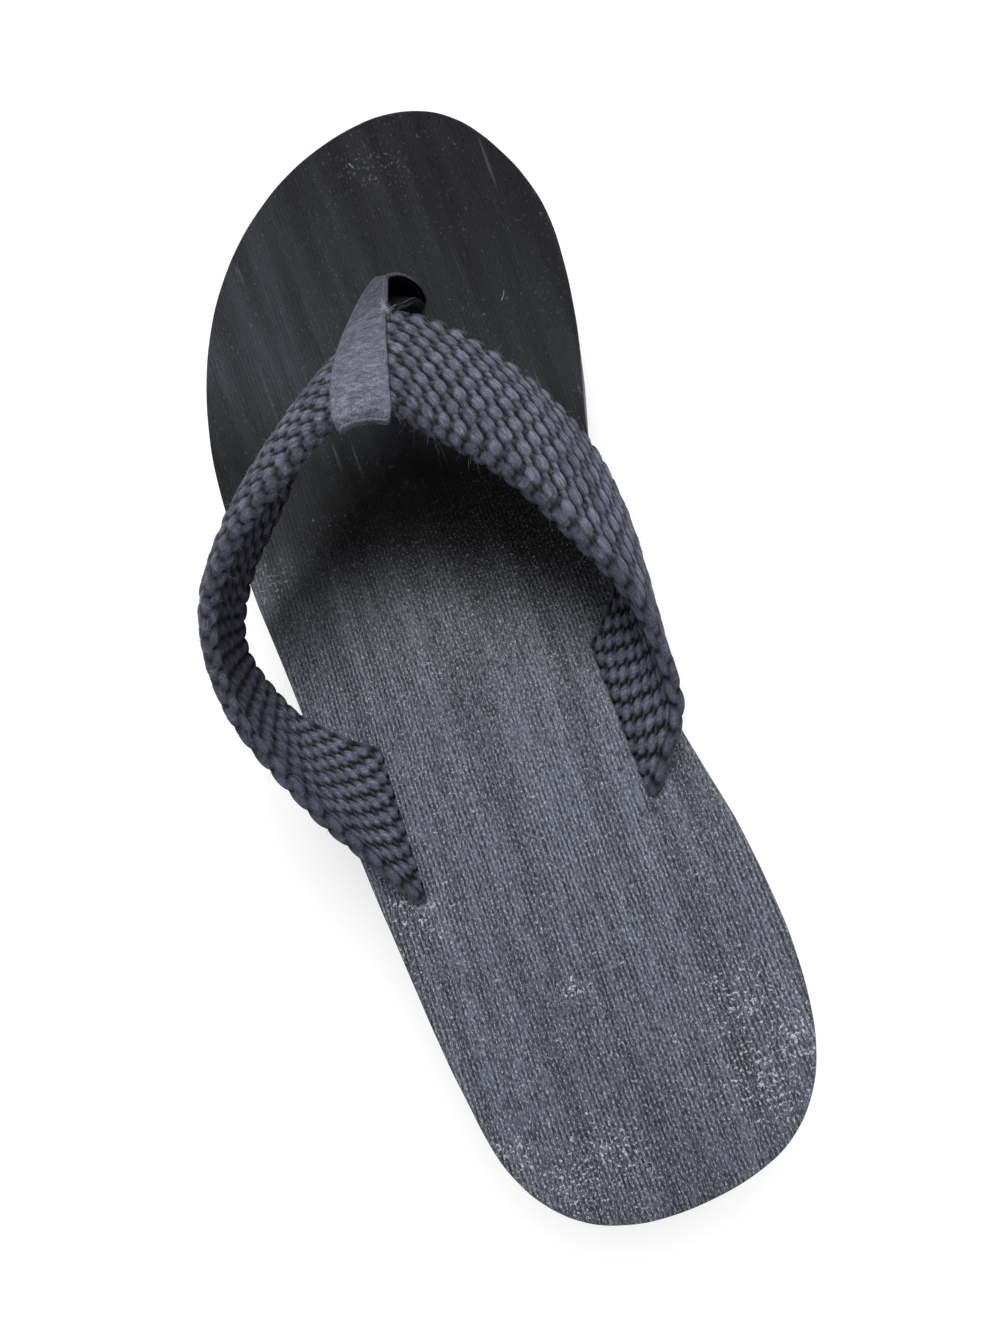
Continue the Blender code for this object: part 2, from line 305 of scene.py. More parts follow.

# Foam tones along the shoe; in the footbed's table the dark stops at stations 152 and 172 are a
# painted shadow under the strap. Columns: station, red, green, blue.
FOOTBED_TONES_AND_SHADOW = (
    (0.0, 0.079, 0.086, 0.112),
    (95.0, 0.096, 0.104, 0.133),
    (134.0, 0.088, 0.094, 0.11),
    (152.0, 0.022, 0.023, 0.025),
    (172.0, 0.012, 0.013, 0.014),
    (200.0, 0.034, 0.036, 0.043),
    (255.0, 0.024, 0.025, 0.03),
)
# In the sole's table the paler tones towards the toe are a painted sheen
SOLE_TONES_AND_SHEEN = (
    (0.0, 0.11, 0.118, 0.15),
    (70.0, 0.062, 0.068, 0.085),
    (130.0, 0.058, 0.062, 0.072),
    (185.0, 0.06, 0.065, 0.078),
    (255.0, 0.14, 0.15, 0.19),
)

# Rubbed places of the footbed. Columns: x, station, radius.
RUBBED_PLACES = (
    (-33.0, 74.5, 11.0),
    (-30.6, 21.4, 8.8),
    (32.0, 24.0, 15.4),
    (-45.3, 159.8, 11.0),
    (11.0, 251.0, 8.8),
    (17.0, 249.0, 11.0),
    (-7.0, 48.5, 6.6),
    (23.9, 20.1, 17.6),
    (25.4, 34.7, 15.4),
    (-20.8, 11.3, 13.2),
    (-11.5, 15.8, 13.2),
)
RIB_PITCH = 1.0
RIB_WANDER = 10.0
# Slant of the footbed's tones across the shoe, which carries the painted shadow under the strap
# further towards the heel on the inner side
TONES_AND_SHADOW_SLANT = 0.45
WORN_TOE = 0.22
DUST = (0.36, 0.37, 0.4, 1.0)
PALE_DUST = (0.5, 0.51, 0.54, 1.0)

# Relief of each finish: distance and strength
FOOTBED_RELIEF = (0.0006, 0.8)
SOLE_RELIEF = (0.00012, 0.55)
YARN_RELIEF = (0.0005, 0.9)
TAPE_RELIEF = (0.0003, 0.7)

# Tones of webbing, tape and threads, and scales of the tape's yarns across and along it
# The groove tone is painted shade in the weave's grooves
YARN_GROOVE_SHADE = (0.003, 0.003, 0.004, 1.0)
YARN_CROWN = (0.12, 0.124, 0.178, 1.0)
# Pale tone of the fuzz, also a painted highlight on the tops of the webbing's crowns
YARN_PALE_AND_HIGHLIGHT = (0.3, 0.302, 0.36, 1.0)
TAPE_TONE = (0.195, 0.2, 0.257, 1.0)
TAPE_DARK = (0.09, 0.092, 0.12, 1.0)
TAPE_YARN = (100.0, 400.0, 0.0)
TAPE_PICKS = (20.0, 190.0, 0.0)
LINING_TONE = (0.003, 0.003, 0.0035)
LINING_RIBS = (60.0, 8.0, 0.0)
PALE_THREAD = (0.34, 0.345, 0.41, 1.0)
FRAYED_THREAD = (0.6, 0.6, 0.66, 1.0)
LINT_PALE = (0.6, 0.6, 0.58, 1.0)


def spline(rows, t):
    """Catmull-Rom values of a table at row positions t, with its ends held."""
    rows = np.asarray(rows, float)
    t = np.asarray(t, float)
    last = len(rows) - 1
    i = np.clip(t.astype(int), 0, last - 1)
    a, b, c, d = (rows[np.clip(i + k, 0, last)] for k in (-1, 0, 1, 2))
    f = (t - i).reshape(t.shape + (1,) * (rows.ndim - 1))
    return 0.5 * (2 * b + (c - a) * f + (2 * a - 5 * b + 4 * c - d) * f ** 2
                  + (3 * b - a - 3 * c + d) * f ** 3)


def unit(vectors):
    """Vectors of length one."""
    return vectors / np.maximum(np.linalg.norm(vectors, axis=-1, keepdims=True), 1e-12)


def mixed(a, b, share):
    """Value that is a share of the way from one to another."""
    return a + (b - a) * share


def swell(at, middle, reach, power=2):
    """Smooth swelling about a middle, where it is 1."""
    return np.exp(-((at - middle) / reach) ** power)


OUTLINE = [row[0] for row in SOLE_ROWS] + [row[1] for row in reversed(SOLE_ROWS[1:-1])]
LOOPED_OUTLINE = OUTLINE[-1:] + OUTLINE + OUTLINE[:2]
HEIGHTS = [row[2] for row in SOLE_ROWS]
OUTLINE_ANGLES = np.concatenate([TIP_ANGLES, np.arange(ANGLE_STEP, 180, ANGLE_STEP),
                                 180 - TIP_ANGLES[::-1]])[:, None]

# Slits of the strap: x, front and rear station
STRAP_SLITS = [(row[0], row[1], row[4]) for row in (STRAP_ROWS[0], STRAP_ROWS[-1])]
LAST_ROW = len(STRAP_ROWS) - 1


def station_of(angle):
    """Station at an angle round the outline; 180 is the toe, 360 the heel again."""
    return SOLE_LENGTH / 2 * (1 - np.cos(np.radians(angle)))


def side_of(angle):
    """Sideways place of the outline at an angle, the outer side first."""
    return spline(LOOPED_OUTLINE, np.mod(angle, 360) / ROW_ANGLE + 1)


def footbed_height(station):
    """Height of the footbed's top above the floor."""
    share = np.clip(np.asarray(station) / SOLE_LENGTH, 0, 1)
    return spline(HEIGHTS, np.degrees(np.arccos(1 - 2 * share)) / ROW_ANGLE)


def base_height(station):
    """Height of the sole's underside: flat, with a little heel lift and the toe spring."""
    heel = HEEL_LIFT * np.clip(1 - station / HEEL_LIFT_END, 0, 1) ** 2
    share = np.clip((station - SPRING_START) / (SOLE_LENGTH - SPRING_START), 0, 1)
    return heel + TOE_SPRING * share ** SPRING_POWER


def place(x, station, z):
    """Points of the frame, in millimetres."""
    return np.stack(np.broadcast_arrays(x, station - SOLE_LENGTH / 2, z), axis=-1)


def over_footbed(x, station, lift):
    """Points at a height over the footbed's top."""
    return place(x, station, footbed_height(station) + lift)


def wall_points(angle, below, inset):
    """Points of the sole's side, a depth below the footbed's top and inset from the edge."""
    top_station = station_of(angle)
    top = footbed_height(top_station)
    base = base_height(top_station)
    share = np.minimum(below / (top - base), 1.0)
    shrink = (SOLE_LENGTH - HEEL_UNDERCUT - TOE_OVERHANG) / SOLE_LENGTH
    foot_station = HEEL_UNDERCUT + top_station * shrink
    along_x = side_of(angle + 1) - side_of(angle - 1)
    along_y = station_of(angle + 1) - station_of(angle - 1)
    length = np.hypot(along_x, along_y)
    x = side_of(angle) + along_y / length * inset
    station = mixed(top_station, foot_station, share) - along_x / length * inset
    return place(x, station, mixed(top, base, share))


def ripple(angle):
    """Slight wander of a cut foam edge round the outline, from -1 to 1."""
    turns = np.radians(angle)
    return (np.sin(19 * turns + 1.0) + np.sin(34 * turns + 2.6) + np.sin(53 * turns)) / 3


def slab_rows(depths, insets):
    """Closed sections of a slab at each outline angle: over the top, down the inner side,
    back underneath and up the outer side, through levels of a depth and an inset."""
    angles = OUTLINE_ANGLES
    outer = wall_points(angles, depths, insets + EDGE_WANDER * ripple(angles))
    inner = wall_points(360 - angles, depths, insets + EDGE_WANDER * ripple(360 - angles))
    share = np.linspace(0, 1, ACROSS_STEPS + 1)[None, :, None]
    top = mixed(outer[:, :1], inner[:, :1], share)
    bottom = mixed(inner[:, -1:], outer[:, -1:], share)
    return np.concatenate([top, inner[:, 1:-1], bottom, outer[:, -2:0:-1], top[:, :1]], axis=1)


def round_edge(radius):
    """Depths and insets of a rounded edge, from its top down."""
    turns = np.linspace(0, math.pi / 2, EDGE_ROUND_STEPS + 1)
    return radius * (1 - np.cos(turns)), radius * (1 - np.sin(turns))


def strap_edges(row):
    """Front and rear edge points of the strap and its bow at row positions."""
    columns = np.moveaxis(spline(STRAP_ROWS, row), -1, 0)
    front = over_footbed(*columns[:3])
    rear = over_footbed(*columns[3:6])
    drawn_in = PINCH * swell(np.asarray(row), *PINCH_AT)
    rear = rear + unit(front - rear) * drawn_in[..., None]
    return front, rear, columns[6][..., None]


def strap_middle(row, across):
    """Middle of the strap's wall; across is 0 at the front edge and 1 at the rear."""
    front, rear, bow = strap_edges(row)
    before = strap_edges(np.maximum(row - ROW_NUDGE, 0))
    after = strap_edges(np.minimum(row + ROW_NUDGE, LAST_ROW))
    run = after[0] - before[0] + after[1] - before[1]
    outward = unit(np.cross(run, front - rear))
    share = across[..., None]
    return mixed(front, rear, share) + outward * bow * 4 * share * (1 - share)


def strap_surface(row, across):
    """Middle of the strap's wall, its outward normal and its way to the rear edge."""
    row, across = np.broadcast_arrays(np.asarray(row, float), np.asarray(across, float))
    run = (strap_middle(np.minimum(row + ROW_NUDGE, LAST_ROW), across)
           - strap_middle(np.maximum(row - ROW_NUDGE, 0), across))
    rearward = strap_middle(row, across + ROW_NUDGE) - strap_middle(row, across - ROW_NUDGE)
    return strap_middle(row, across), unit(np.cross(run, -rearward)), unit(rearward)


def lengths_along(points):
    """Running length at each of a line's points."""
    steps = np.linalg.norm(np.diff(points, axis=0), axis=-1)
    return np.concatenate([[0.0], np.cumsum(steps)])


def band_ring(outer_steps, inner_steps, edge_steps):
    """Section of a band: place across it, turn from the outer face at 90 degrees to the
    inner at -90, and which edge is rounded, front -1 or rear 1. It ends where it starts."""
    outer = np.linspace(0, 1, outer_steps + 1)
    inner = np.linspace(1, 0, inner_steps + 1)
    turns = np.linspace(90, -90, edge_steps + 1)[1:-1]
    across = np.concatenate([outer, turns * 0 + 1, inner, turns * 0, [0.0]])
    turn = np.concatenate([outer * 0 + 90, turns, inner * 0 - 90, turns[::-1], [90.0]])
    edge = np.concatenate([outer * 0, turns * 0 + 1, inner * 0, turns * 0 - 1, [0.0]])
    return across, np.radians(turn), edge


def band_points(middle, normal, wide, turn, edge, half):
    """Points round a band's sections, off its middle and rounded over its edges."""
    half = half[..., None]
    return (middle + normal * np.sin(turn)[:, None] * half
            + wide * (edge * np.cos(turn))[:, None] * half)


def dome(p, q):
    """Height of one plump yarn over its oval."""
    return np.sqrt(np.clip(1 - np.abs(p) ** YARN_POWER - np.abs(q) ** YARN_POWER, 0, 1))


def weave(columns, rows, slope, cords, draws):
    """Relief of the weave, the crown of each yarn from 0 at its rim to 1, its own tone, and
    the place in its yarn: across its fibres, along them and a number of its own."""
    count = draws["tone"].shape[0]
    own = np.clip(np.floor(columns).astype(int), 0, cords - 1)
    layers = []

    def add(side, along, wide, long, height, shine, tone):
        crown = dome(side / wide, along / long)
        layers.append((crown * height, crown * shine, tone, side, along))

    row = np.floor(rows).astype(int) % count
    for step in (0, -1, 1):
        column = own + step
        there = (column >= 0) & (column < cords)
        column = np.clip(column, 0, cords - 1)
        along = rows - np.floor(rows) - 0.5 + draws["shift"][row, column]
        add(columns - own - step - 0.5 - slope * along, along, *BIG_YARN,
            draws["height"][row, column] * there, 1.0, draws["tone"][row, column])
    near_row = np.rint(rows)
    near_column = np.rint(columns)
    short = rows - near_row
    row = near_row.astype(int) % count
    add(columns - near_column - slope * short, short, *SLIM_YARN,
        draws["tone"][row, near_column.astype(int) % cords])
    add(short, columns - own - 0.5, *FLAT_YARN, 1 - draws["tone"][row, own])
    top = np.argmax([layer[0] for layer in layers], axis=0)
    height, crown, tone, side, along = (np.choose(top, values) for values in zip(*layers))
    return height, crown, tone, np.stack([side, along, tone * YARN_NUMBER + top], axis=-1)


def strap_points():
    """Rows of points round the woven strap, with crown, tone and place in the yarn."""
    fine = np.linspace(STRAP_FROM, STRAP_TO, FINE_ROWS)
    running = lengths_along(strap_middle(fine, np.full_like(fine, 0.5)))
    near_ridge = swell(fine, *RIDGE_AT)
    steps = np.diff(running) / (PICK_LENGTH - PICK_TIGHTER * near_ridge[1:])
    fine_picks = np.concatenate([[0.0], np.cumsum(steps)])
    length = np.linspace(0, running[-1], int(running[-1] / ROW_STEP) + 1)
    row = np.interp(length, running, fine)[:, None]
    across, turn, edge = band_ring(CORDS * CORD_STEPS, INNER_CORDS * INNER_CORD_STEPS,
                                   SELVEDGE_STEPS)
    inset = WEBBING_INSET / WEBBING_WIDE
    middle, normal, rearward = strap_surface(row, inset + across[None] * (1 - 2 * inset))

    draw = np.random.default_rng(SEED)
    cells = (int(fine_picks[-1]) + SPARE_PICKS, INNER_CORDS)
    draws = {
        "tone": draw.uniform(0, 1, cells),
        "shift": draw.normal(0, YARN_SHIFT, cells),
        "height": draw.uniform(YARN_LOW, 1.0, cells),
    }
    columns = np.broadcast_to(across * CORDS, (len(length), len(across)))
    tight = np.interp(row, fine, near_ridge)
    even_picks = np.interp(row, fine, fine_picks)
    picks = even_picks + RIDGE_STAGGER * tight * (columns - CORDS / 2)
    slope = YARN_LEAN + RIDGE_LEAN * tight
    outer, outer_crown, outer_tone, outer_run = weave(columns, picks, slope, CORDS, draws)
    inner_columns = columns * INNER_CORDS / CORDS
    inner_slope = np.interp(row, *INNER_LEANS)
    inner_picks = (length[:, None] / INNER_PICK_LENGTH
                   + INNER_STAGGER * inner_slope * (inner_columns - INNER_CORDS / 2))
    inner, inner_crown, inner_tone, inner_run = weave(inner_columns, inner_picks, inner_slope,
                                                      INNER_CORDS, draws)

    # Ribs that the webbing's inner face gathers into where it bends
    bend = BEND_SHARE * swell(row, *BEND_AT)
    gathered = np.abs(np.sin(math.pi * BEND_RIBS * (even_picks - BEND_SLANT * across)))
    ribs = mixed(BEND_VALLEY, 1, gathered)
    ribs = ribs * mixed(BEND_CORDS, 1, np.abs(np.sin(math.pi * columns)))
    inner = mixed(inner, ribs, bend)
    inner_crown = mixed(inner_crown, ribs, bend)

    share = (1 + np.sin(turn)) / 2
    relief = mixed(inner, outer, share)
    crown = mixed(inner_crown, outer_crown, share)
    # Painted light: the inner face's tones are raised
    tone = mixed(mixed(INNER_PAINTED_LIGHT, 1, inner_tone), outer_tone, share)
    run = np.where((share > 0.5)[:, None], outer_run, inner_run)

    # Two rows of beads round each selvedge
    level = turn / (math.pi / 2)
    beads = np.maximum(*(dome((level - side) / BEAD_WIDE, (np.mod(start, 1) - 0.5) / BEAD_LONG)
                         for side, start in ((0.5, picks), (-0.5, picks + 0.5))))
    selvedge = np.clip(1 - np.minimum(across, 1 - across) / BEAD_REACH, 0, 1)
    relief = mixed(relief, beads, selvedge)
    # Painted shade: the beads' crowns are lowered in the colour
    crown = mixed(crown, beads * BEAD_SHADED_CROWN, selvedge)
    around = np.broadcast_arrays(level, np.mod(picks, 1), tone * YARN_NUMBER)
    run = np.where((edge != 0)[:, None], np.stack(around, axis=-1), run)
    pressed = PRESSED * swell(row, *PRESSED_AT, 4)
    half = WEBBING_CORE + WEBBING_RELIEF * relief * (1 - pressed)
    points = band_points(middle, normal, rearward, turn, edge, half)
    return points, {"crown": crown, "tone": tone, "run": run}


def leg_sheet(rows, lanes):
    """Sheet of a free leg of the tape, from the slot upwards, by lanes from -1 to 1."""
    columns = np.array(rows).T[..., None]
    share = ((lanes + 1) / 2)[None, :, None]
    return mixed(over_footbed(*columns[:3]), over_footbed(*columns[3:]), share)


def tape_sheet(lanes):
    """Middle of the tape: up the front leg, over the strap, round its rear edge and down."""
    shares = np.linspace(TAPE_START, 1, TAPE_STEPS + 1)[:, None]
    spread = mixed(*TAPE_SPREAD, shares)
    row = TAPE_ROW - TAPE_SKEW * shares + lanes[None] * spread
    middle, normal, _ = strap_surface(row, shares)
    back = unit(middle[-1] - middle[-2]) * TAPE_LIFT
    turns = (math.pi * np.arange(1, FOLD_STEPS) / FOLD_STEPS)[:, None, None]
    fold = middle[-1] + normal[-1] * TAPE_LIFT * np.cos(turns) + back * np.sin(turns)
    over = middle + normal * TAPE_LIFT
    under = (middle - normal * TAPE_LIFT)[::-1]
    upper = leg_sheet(UPPER_LEG_ROWS, lanes)
    lower = leg_sheet(LOWER_LEG_ROWS, lanes)[::-1]
    return np.concatenate([upper, over, fold, under, lower])


def even_sheet(sheet, step):
    """Sheet resampled at even steps along its middle lane, with the running length."""
    knots = np.linspace(0, len(sheet) - 1, FINE_KNOTS * len(sheet))
    fine = spline(sheet, knots)
    running = lengths_along(fine[:, fine.shape[1] // 2])
    length = np.linspace(0, running[-1], int(running[-1] / step) + 1)
    return spline(sheet, np.interp(length, running, knots)), length


def sheet_normals(sheet):
    """Outward normals of a sheet of the tape."""
    return -unit(np.cross(np.gradient(sheet, axis=1), np.gradient(sheet, axis=0)))


def tape_points():
    """Rows of points round the ribbed tape, with its lining share at each."""
    across, turn, edge = band_ring(TAPE_FACE_STEPS, TAPE_FACE_STEPS, TAPE_EDGE_STEPS)
    lanes = np.linspace(-1, 1, TAPE_FACE_STEPS + 1) * TAPE_LANE_REACH
    sheet, length = even_sheet(tape_sheet(lanes), TAPE_ROW_STEP)
    normal = sheet_normals(sheet)
    wide = unit(np.gradient(sheet, axis=1))
    lane = np.rint(across * TAPE_FACE_STEPS).astype(int)
    rib = np.abs(np.sin(math.pi * length / TAPE_RIB_PITCH))[:, None]
    half = TAPE_CORE + TAPE_RIB * rib
    points = band_points(sheet[:, lane], normal[:, lane], wide[:, lane], turn, edge, half)
    lining = np.broadcast_to((1 - np.sin(turn)) / 2, points.shape[:2])
    return points, lining


def link(thing):
    """Puts an object in the scene."""
    bpy.context.scene.collection.objects.link(thing)


def add_primitive(operator, **sizes):
    """New primitive, the only object selected."""
    bpy.ops.object.select_all(action="DESELECT")
    operator(**sizes)
    return bpy.context.object


def edit_mesh(select="SELECT"):
    """Edit mode, with all of the mesh selected or none."""
    bpy.ops.object.mode_set(mode="EDIT")
    bpy.ops.mesh.select_all(action=select)


def leave_mesh():
    bpy.ops.object.mode_set(mode="OBJECT")


def mesh_points(mesh):
    """Places of a mesh's points."""
    flat = np.empty(len(mesh.vertices) * 3)
    mesh.vertices.foreach_get("co", flat)
    return flat.reshape(-1, 3)


def lay_grid(name, points, attributes=None):
    """Grid primitive with its points laid at rows of places, seam merged and ends filled."""
    rows = points.shape[0] - 1
    around = points.shape[1] - 1
    piece = add_primitive(bpy.ops.mesh.primitive_grid_add, x_subdivisions=around,
                          y_subdivisions=rows, size=1.0)
    piece.name = name
    mesh = piece.data
    mesh.name = name
    flat = mesh_points(mesh)
    i = np.rint((flat[:, 0] + 0.5) * around).astype(int)
    j = np.rint((flat[:, 1] + 0.5) * rows).astype(int)
    mesh.vertices.foreach_set("co", (points[j, i] * MM).ravel())
    for key, values in (attributes or {}).items():
        kind, field = ("FLOAT_VECTOR", "vector") if values.ndim == 3 else ("FLOAT", "value")
        layer = mesh.attributes.new(key, kind, "POINT")
        layer.data.foreach_set(field, values[j, i].astype(np.float32).ravel())
    edit_mesh()
    bpy.ops.mesh.remove_doubles(threshold=MERGE_REACH)
    bpy.ops.mesh.fill_holes(sides=0)
    bpy.ops.mesh.select_all(action="SELECT")
    bpy.ops.mesh.normals_make_consistent(inside=False)
    leave_mesh()
    bpy.ops.object.shade_smooth()
    return piece


def slot_box(middle, size, turn):
    """Box that cuts a slot with clearance and round upright edges, turned and in place."""
    size = np.array(size) + (2 * SLIT_CLEARANCE, 2 * SLIT_CLEARANCE, 0.0)
    box = add_primitive(bpy.ops.mesh.primitive_cube_add, size=1.0)
    box.data.transform(Matrix.Diagonal((*(size * MM), 1.0)))
    edit_mesh("DESELECT")
    leave_mesh()
    for edge in box.data.edges:
        low, high = (box.data.vertices[i].co for i in edge.vertices)
        edge.select = abs(low.z - high.z) > abs(low.x - high.x) + abs(low.y - high.y)
    bpy.ops.object.mode_set(mode="EDIT")
    bpy.ops.mesh.select_mode(type="EDGE")
    bpy.ops.mesh.bevel(offset=SLIT_ROUND * min(size[0], size[1]) * MM,
                       segments=SLIT_ROUND_STEPS, affect="EDGES")
    leave_mesh()
    turned = Matrix.Rotation(turn, 4, "Z")
    box.data.transform(Matrix.Translation(Vector(middle * MM)) @ turned)
    return box


def slot_boxes():
    """Boxes for the two slits of the strap and the slot of the tape."""
    boxes = []
    for x, front, rear in STRAP_SLITS:
        top = footbed_height(rear) + CUT_OVER
        floor = footbed_height(front) - SLIT_DEPTH - CUT_UNDER
        middle = place(x, (front + rear) / 2, (top + floor) / 2)
        boxes.append(slot_box(middle, (WEBBING_THICK, front - rear, top - floor), 0.0))
    corners = [place(row[k], row[k + 1], 0.0)
               for row in (UPPER_LEG_ROWS[0], LOWER_LEG_ROWS[0]) for k in (0, 3)]
    middle = np.mean(corners, axis=0)
    along = corners[1] - corners[0]
    apart = np.linalg.norm(np.cross(corners[2] - corners[0], unit(along)))
    middle[2] = (footbed_height(middle[1] + SOLE_LENGTH / 2)
                 + (CUT_OVER - SLOT_DEPTH - CUT_UNDER) / 2)
    size = (np.linalg.norm(along), apart + TAPE_THICK, CUT_OVER + SLOT_DEPTH + CUT_UNDER)
    boxes.append(slot_box(middle, size, math.atan2(along[1], along[0])))
    return boxes


def cut_slots(piece):
    """Cuts the slits and the slot and keeps the cut edges crisp."""
    for box in slot_boxes():
        bpy.ops.object.select_all(action="DESELECT")
        piece.select_set(True)
        bpy.context.view_layer.objects.active = piece
        modifier = piece.modifiers.new("slot", "BOOLEAN")
        modifier.operation = "DIFFERENCE"
        modifier.solver = "EXACT"
        modifier.object = box
        bpy.ops.object.modifier_apply(modifier=modifier.name)
        bpy.data.objects.remove(box, do_unlink=True)
    bpy.ops.object.shade_smooth_by_angle(angle=math.radians(CRISP_ANGLE))


def raise_lips(points):
    """Foam lips raised a little round the slits, where the webbing pulls on them."""
    station = points[..., 1] + SOLE_LENGTH / 2
    for x, front, rear in STRAP_SLITS:
        past = np.maximum(np.maximum(rear - station, station - front), 0)
        away = np.hypot(points[..., 0] - x, past)
        top = points[..., 2] > footbed_height(station) - LIP_DEPTH
        points[..., 2] += np.where(top, LIP_RISE * swell(away, 0, LIP_REACH), 0)
    return points


def make_footbed():
    """Footbed with a rounded upper edge."""
    depths, insets = round_edge(FOOTBED_EDGE)
    lower = [FOOTBED_THICK * FOOTBED_BREAK, FOOTBED_THICK - PARTING_EDGE, FOOTBED_THICK]
    depths = np.append(depths, lower)
    insets = np.append(insets, [0.0, 0.0, PARTING_EDGE])
    piece = lay_grid("ribbed_footbed", raise_lips(slab_rows(depths, insets)))
    cut_slots(piece)
    return piece


def make_sole():
    """Wedge with an even number of steps down its wall and a rounded lower edge."""
    stations = station_of(OUTLINE_ANGLES)
    tall = footbed_height(stations) - base_height(stations)
    start = FOOTBED_THICK + PARTING_GAP
    round_depths, round_insets = round_edge(SOLE_EDGE)
    wall = (start + PARTING_EDGE + (tall - SOLE_EDGE - start - PARTING_EDGE)
            * np.linspace(0, 1, WALL_STEPS + 1))
    lower = tall - round_depths[::-1][1:]
    depths = np.concatenate([np.full_like(tall, start), wall, lower], axis=1)
    insets = np.concatenate([[PARTING_EDGE], np.zeros(WALL_STEPS + 1), round_insets[::-1][1:]])
    piece = lay_grid("wedge_sole", slab_rows(depths, insets))
    cut_slots(piece)
    return piece


def new_piece(name, points, faces):
    """Smooth piece from points in millimetres and its faces."""
    mesh = bpy.data.meshes.new(name)
    mesh.from_pydata((points * MM).tolist(), [], faces)
    mesh.shade_smooth()
    piece = bpy.data.objects.new(name, mesh)
    link(piece)
    return piece


def copies(source, name, places):
    """One piece of copies of a modelled one, at each of a list of turns and places."""
    points = mesh_points(source.data)
    faces = [list(face.vertices) for face in source.data.polygons]
    bpy.data.objects.remove(source, do_unlink=True)
    laid = np.concatenate([points @ turn.T + where for turn, where in places])
    firsts = range(0, len(laid), len(points))
    return new_piece(name, laid, [[first + i for i in face] for first in firsts for face in faces])


def stitch_places():
    """Turn and place of each stitch along both edges of the tape, on both its faces."""
    lanes = np.linspace(-STITCH_LANE, STITCH_LANE, STITCH_LANES)
    sheet, length = even_sheet(tape_sheet(lanes), STITCH_FIND_STEP)
    normal = sheet_normals(sheet)
    places = []
    off = TAPE_CORE + TAPE_RIB * STITCH_SINK
    count = int((length[-1] - 2 * SLOT_DEPTH) / STITCH_PITCH)
    for lane in (0, -1):
        for k in range(count):
            at = np.searchsorted(length, SLOT_DEPTH + (k + 0.5) * STITCH_PITCH)
            run = unit(sheet[at + 1, lane] - sheet[at - 1, lane])
            side = unit(np.cross(normal[at, lane], run))
            turned = np.stack([run, side, np.cross(run, side)], axis=1)
            places += [(turned, sheet[at, lane] + normal[at, lane] * off * face)
                       for face in (1, -1)]
    return places


def seam_places():
    """Turn and place of the slanted stitches across the tape at the strap's rear edge."""
    lanes = np.linspace(-STITCH_LANE, STITCH_LANE, SEAM_STITCHES)
    sheet = tape_sheet(lanes)
    normal = sheet_normals(sheet)
    at = len(UPPER_LEG_ROWS) + TAPE_STEPS + SEAM_FOLD_STEP
    places = []
    for lane in range(SEAM_STITCHES):
        across = unit(sheet[at, min(lane + 1, SEAM_STITCHES - 1)] - sheet[at, max(lane - 1, 0)])
        up = normal[at, lane]
        run = unit(across + SEAM_SLANT * np.cross(up, across))
        side = np.cross(up, run)
        point = sheet[at, lane] + up * (TAPE_CORE + TAPE_RIB)
        places.append((np.stack([run, side, np.cross(run, side)], axis=1), point))
    return places


def make_stitches(name, length, places):
    """Stitches as one mesh, each a stretched ball."""
    stitch = add_primitive(bpy.ops.mesh.primitive_uv_sphere_add, segments=STITCH_SIDES,
                           ring_count=STITCH_SIDES, radius=0.5)
    edit_mesh()
    bpy.ops.transform.resize(value=(length, STITCH_THICK, STITCH_THICK * STITCH_FLAT))
    leave_mesh()
    return copies(stitch, name, places)


def make_fibres(name, roots, ways, bends, lengths, thick):
    """Thin tapered fibres as one mesh, each a three-sided tube along a bent line."""
    t = np.linspace(0, 1, FIBRE_STEPS + 1)[None, :, None]
    line = roots[:, None] + lengths[:, None, None] * (ways[:, None] * t + bends[:, None] * t ** 2)
    side = unit(np.cross(ways, np.roll(ways, 1, axis=1) + FIBRE_SIDE))
    up = np.cross(ways, side)
    turns = np.radians([0, 120, 240])[:, None]
    ring = side[:, None, None] * np.cos(turns) + up[:, None, None] * np.sin(turns)
    points = line[:, :, None] + ring * thick / 2 * (1 - FIBRE_TAPER * t[..., None])
    faces = []
    for k in range(len(roots)):
        first = k * (FIBRE_STEPS + 1) * 3
        for low in range(first, first + 3 * FIBRE_STEPS, 3):
            faces += [(low + j, low + (j + 1) % 3, low + 3 + (j + 1) % 3, low + 3 + j)
                      for j in range(3)]
        last = first + 3 * FIBRE_STEPS
        faces += [(first + 2, first + 1, first), (last, last + 1, last + 2)]
    return new_piece(name, points.reshape(-1, 3), faces)


